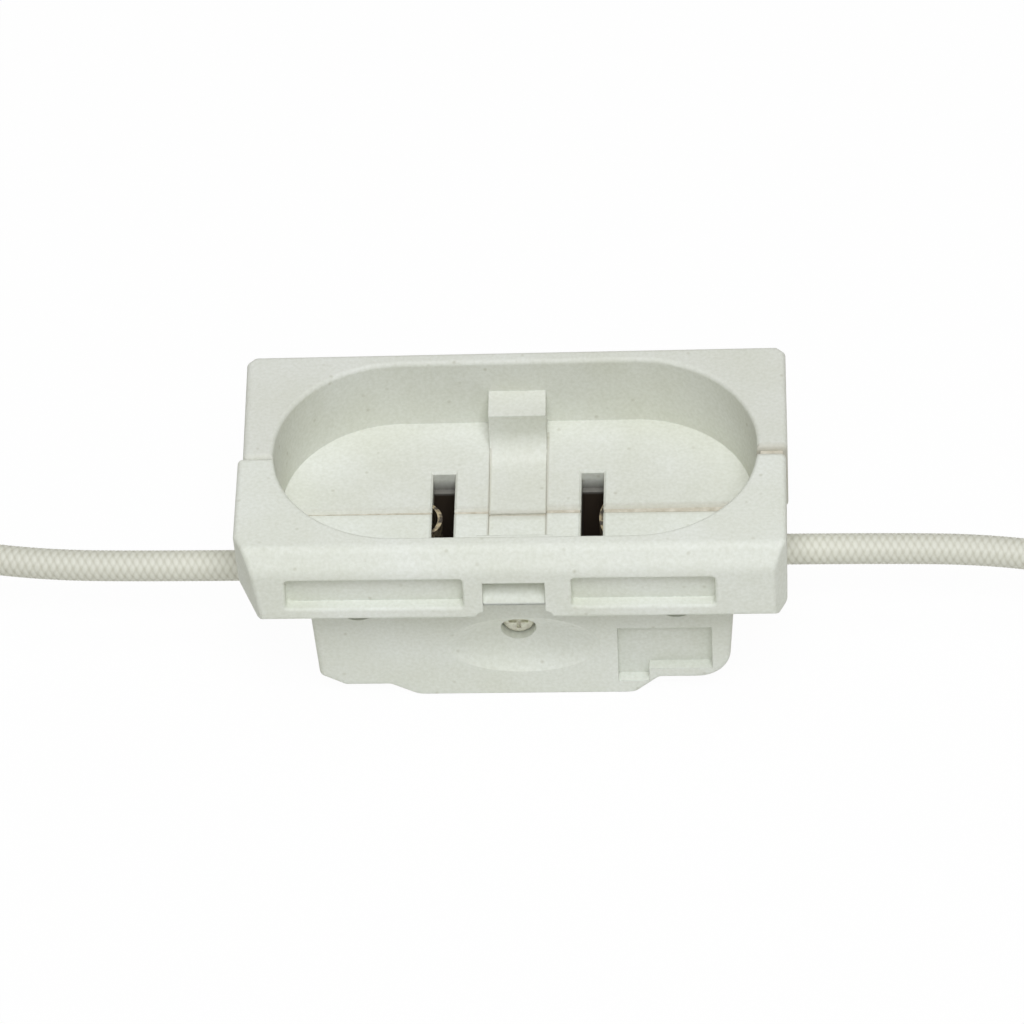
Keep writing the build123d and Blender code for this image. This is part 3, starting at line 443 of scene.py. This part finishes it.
def seam_ribbon(name, path):
    """A thin ribbon that fills the open seam along a path of x and z values.

    At each point it reaches across Y from the front half's face to the rear half's, less a little play on
    both sides. Their distance grows along X by the seam slope, from nothing at the rear half's left end. The
    ribbon's thickness is square to the path."""
    s = sizes()
    play, thickness = 0.00001, 0.0001
    xz = np.array(path)
    ahead = np.gradient(xz, axis=0)
    ahead /= np.linalg.norm(ahead, axis=1, keepdims=True)
    across = np.c_[-ahead[:, 1], ahead[:, 0]] * thickness / 2
    far = (xz[:, 0] - s.rear_end) * s.seam_slope - play
    near = np.full(len(xz), play)
    corners = [(near, across), (far, across), (far, -across), (near, -across)]
    rings = np.stack([np.c_[xz[:, 0] + d[:, 0], y, xz[:, 1] + d[:, 1]] for y, d in corners], axis=1)
    mesh = tube_mesh(name, rings)
    mesh.polygons.foreach_set("use_smooth", np.zeros(len(mesh.polygons), dtype=bool))
    return mesh


def stranded_rod(name, start, direction, length, diameter):
    """Twisted bare strands along X: round the rod the radius rises in a hump for each of seven outer strands,
    which turn once in six diameters along it."""
    strands, lay = 7, 6 * diameter
    stations = np.linspace(0, length, 60)
    angle, along = np.meshgrid(np.linspace(0, 2 * np.pi, 70, endpoint=False), stations)
    wave = np.abs(np.cos(strands / 2 * (angle - 2 * np.pi * along / lay)))
    radius = diameter / 2 * (0.84 + 0.16 * wave ** 0.7)
    rings = np.stack([
        start[0] + direction * along,
        start[1] + direction * radius * np.cos(angle),
        start[2] + radius * np.sin(angle)], axis=-1)
    return tube_mesh(name, rings)


def place_piece(name, mesh, material):
    """A new object of the part with one finish, riding on its body."""
    mesh.materials.append(material)
    piece = bpy.data.objects.new(name, mesh)
    bpy.context.scene.collection.objects.link(piece)
    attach(piece, "root")
    return piece


def bare_strands(name, node, start, direction, material):
    """Twisted strands in place of a node of the part, as long and thick as its box, from start along X."""
    low, high = (np.array(corner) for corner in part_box(node))
    _, y, z = (low + high) / 2
    mesh = stranded_rod(name, (start, y, z), direction, high[0] - low[0], high[2] - low[2])
    piece = place_piece(name, mesh, material)
    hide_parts(node)
    return piece


class SOCKET_OT_shells(bpy.types.Operator):
    """Give the two steatite halves their finish"""

    bl_idname = "socket.shells"
    bl_label = "Steatite halves"

    def execute(self, context):
        c = colours()
        finish_node("front_shell", steatite_material("front_steatite", c.front_steatite, 0.0))
        finish_node("rear_shell", steatite_material("rear_steatite", c.rear_steatite, sizes().seam_slope))
        return {"FINISHED"}


class SOCKET_OT_dust(bpy.types.Operator):
    """Pack dust into the open seam between the halves, under the floor, the walls and the top"""

    bl_idname = "socket.dust"
    bl_label = "Dust in the seam"

    def execute(self, context):
        dust = dust_material()
        floor, channel, top = 0.0164, 0.0158, 0.0246
        paths = {
            "left_dust": [(-0.0262, top), (-0.0257, floor), (-0.0093, floor)],
            "middle_dust": [(-0.0067, floor), (-0.0032, floor), (-0.003, channel), (0.003, channel),
                            (0.0032, floor), (0.0067, floor)],
            "right_dust": [(0.0093, floor), (0.0257, floor), (0.0262, top), (0.0285, top), (0.0285, 0.0165)],
        }
        for name, path in paths.items():
            piece = place_piece(name, seam_ribbon(name, path), dust)
        return {"FINISHED"}


class SOCKET_OT_metal(bpy.types.Operator):
    """Give the contacts, lugs, rivets, springs and the clamp screw with its nut and washer their finishes"""

    bl_idname = "socket.metal"
    bl_label = "Contacts and screw"

    def execute(self, context):
        nickel = metal_material("nickel_plated_strip", colours().nickel, 1.0, 0.32, 0.0006)
        darkened = burnt_metal_material("burnt_nickel_plated_strip", colours().nickel)
        steel = metal_material("zinc_plated_steel", colours().steel, 0.3, 0.55, 0.0005)
        spring = metal_material("blued_spring_steel", "#8C8A84", 1.0, 0.3, 0.0008)
        for name in ("clamp_screw", "clamp_nut", "lock_washer"):
            finish_node(name, steel)
        for side in SIDES:
            finish_node(side + "_contact", darkened)
            for piece in ("_lug", "_rivet"):
                finish_node(side + piece, nickel)
            finish_node(side + "_backing_spring", spring)
        return {"FINISHED"}


class SOCKET_OT_leads(bpy.types.Operator):
    """Lay the braided leads, with their hanks, stripped ends and ties"""

    bl_idname = "socket.leads"
    bl_label = "Braided leads"

    def execute(self, context):
        braid = braid_material()
        copper = metal_material("tinned_copper_strand", "#B39A84", 1.0, 0.35, 0.0005)
        nylon = nylon_material()
        s = sizes()
        for side, sign in SIDES.items():
            finish_node(side + "_tie", nylon)
            end = bare_strands(side + "_bare_end", side + "_lead_end", sign * s.end_place, sign, copper)
            low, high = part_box(side + "_conductor")
            inner = low[0] if sign > 0 else high[0]
            bare_strands(side + "_core", side + "_conductor", inner, sign, copper)
            line = smooth_line(lead_controls(sign))
            lead = place_piece(side + "_braided_lead", braided_tube(side + "_braided_lead", line), braid)
            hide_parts(side + "_lead", side + "_lead_hank")
        return {"FINISHED"}


class SOCKET_OT_stage(bpy.types.Operator):
    """Set up the floor, the soft lights and the camera"""

    bl_idname = "socket.stage"
    bl_label = "Stage"

    def execute(self, context):
        scene = context.scene
        scene.view_settings.view_transform = "Standard"
        self.floor()
        self.lights(scene)
        self.camera(scene)
        return {"FINISHED"}

    def floor(self):
        """A flat white sheet just under the part, white to the camera but for a faint shadow."""
        m = new_material("white_paper")
        rays = add_node(m, "ShaderNodeLightPath")
        seen = add_node(m, "ShaderNodeMath", {"operation": "MAXIMUM"},
                        in_0=rays.outputs["Is Camera Ray"], in_1=rays.outputs["Is Glossy Ray"])
        share = add_node(m, "ShaderNodeMath", {"operation": "MULTIPLY", 1: 0.97}, in_0=seen.outputs["Value"])
        paper = add_node(m, "ShaderNodeBsdfDiffuse", {"Color": linear("#F4F4F2")})
        glow = add_node(m, "ShaderNodeEmission", {"Color": linear("#FFFFFF"), "Strength": 1.0})
        mixed = add_node(m, "ShaderNodeMixShader", {}, Fac=share.outputs["Value"],
                         in_1=paper.outputs["BSDF"], in_2=glow.outputs["Emission"])
        add_node(m, "ShaderNodeOutputMaterial", Surface=mixed.outputs["Shader"])
        mesh = bpy.data.meshes.new("floor")
        reach, height = 3.0, -0.0002
        corners = [(x * reach, y * reach, height) for x, y in ((-1, -1), (1, -1), (1, 1), (-1, 1))]
        mesh.from_pydata(corners, [], [(0, 1, 2, 3)])
        mesh.materials.append(m)
        floor = bpy.data.objects.new("floor", mesh)
        bpy.context.scene.collection.objects.link(floor)

    def lights(self, scene):
        """A dim warm world that is seen as white, a large soft lamp from the front and above, and a weaker
        one straight above."""
        world = bpy.data.worlds.new("studio")
        scene.world = world
        world.use_nodes = True
        world.node_tree.nodes.clear()
        rays = add_node(world, "ShaderNodeLightPath")
        seen = add_node(world, "ShaderNodeMath", {"operation": "MAXIMUM"},
                        in_0=rays.outputs["Is Camera Ray"], in_1=rays.outputs["Is Glossy Ray"])
        ambient = add_node(world, "ShaderNodeBackground", {"Color": linear("#FFFAE6"), "Strength": 0.2})
        white = add_node(world, "ShaderNodeBackground", {"Color": linear("#FFFFFF"), "Strength": 1.0})
        mixed = add_node(world, "ShaderNodeMixShader", {}, Fac=seen.outputs["Value"],
                         in_1=ambient.outputs["Background"], in_2=white.outputs["Background"])
        add_node(world, "ShaderNodeOutputWorld", Surface=mixed.outputs["Shader"])
        for name, place, power, size in (
            ("key_light", (0.08, -0.5, 0.87), 6.95, 0.5),
            ("top_light", (0.0, 0.05, 1.0), 1.85, 0.5),
        ):
            data = bpy.data.lights.new(name, "AREA")
            data.shape = "DISK"
            data.size = size
            data.energy = power
            data.color = linear("#F7F9FF")[:3]
            lamp = bpy.data.objects.new(name, data)
            lamp.location = place
            lamp.rotation_euler = (Vector((0, 0, 0)) - Vector(place)).to_track_quat("-Z", "Y").to_euler()
            scene.collection.objects.link(lamp)

    def camera(self, scene):
        """The photograph's view: from a little right of the front, 44 degrees up, and slightly tilted."""
        azimuth, elevation, tilt = (math.radians(a) for a in (3.182, 44.082, -2.868))
        target, distance = Vector((-0.000593, 0, 0.016648)), 0.85
        back = Vector((math.sin(azimuth) * math.cos(elevation), -math.cos(azimuth) * math.cos(elevation),
                       math.sin(elevation)))
        right = (-back).cross(Vector((0, 0, 1))).normalized()
        up = right.cross(-back)
        tilted_right = math.cos(tilt) * right + math.sin(tilt) * up
        tilted_up = math.cos(tilt) * up - math.sin(tilt) * right
        data = bpy.data.cameras.new("camera")
        data.sensor_width = 36.0
        data.lens = 278.65
        data.clip_start = 0.05
        camera = bpy.data.objects.new("camera", data)
        turned = Matrix((tilted_right, tilted_up, back)).transposed().to_4x4()
        camera.matrix_world = Matrix.Translation(target + distance * back) @ turned
        scene.collection.objects.link(camera)
        scene.camera = camera


class SOCKET_PT_panel(bpy.types.Panel):
    """Sidebar with the sizes, the colours and the steps"""

    bl_label = "Lamp socket"
    bl_idname = "SOCKET_PT_panel"
    bl_space_type = "VIEW_3D"
    bl_region_type = "UI"
    bl_category = "Lamp socket"

    def draw(self, context):
        for group in (context.scene.socket_sizes, context.scene.socket_colours):
            for key in group.__annotations__:
                self.layout.prop(group, key)
        for operator in OPERATORS:
            self.layout.operator(operator.bl_idname)


OPERATORS = (SOCKET_OT_stage, SOCKET_OT_shells, SOCKET_OT_dust, SOCKET_OT_metal, SOCKET_OT_leads)
CLASSES = (SocketSizes, SocketColours, *OPERATORS, SOCKET_PT_panel)


def register():
    for cls in CLASSES:
        bpy.utils.register_class(cls)
    bpy.types.Scene.socket_sizes = PointerProperty(type=SocketSizes)
    bpy.types.Scene.socket_colours = PointerProperty(type=SocketColours)


def unregister():
    del bpy.types.Scene.socket_colours
    del bpy.types.Scene.socket_sizes
    for cls in reversed(CLASSES):
        bpy.utils.unregister_class(cls)


def main():
    register()
    bpy.ops.socket.stage()
    bpy.ops.socket.shells()
    bpy.ops.socket.dust()
    bpy.ops.socket.metal()
    bpy.ops.socket.leads()


if __name__ == "__main__":
    main()
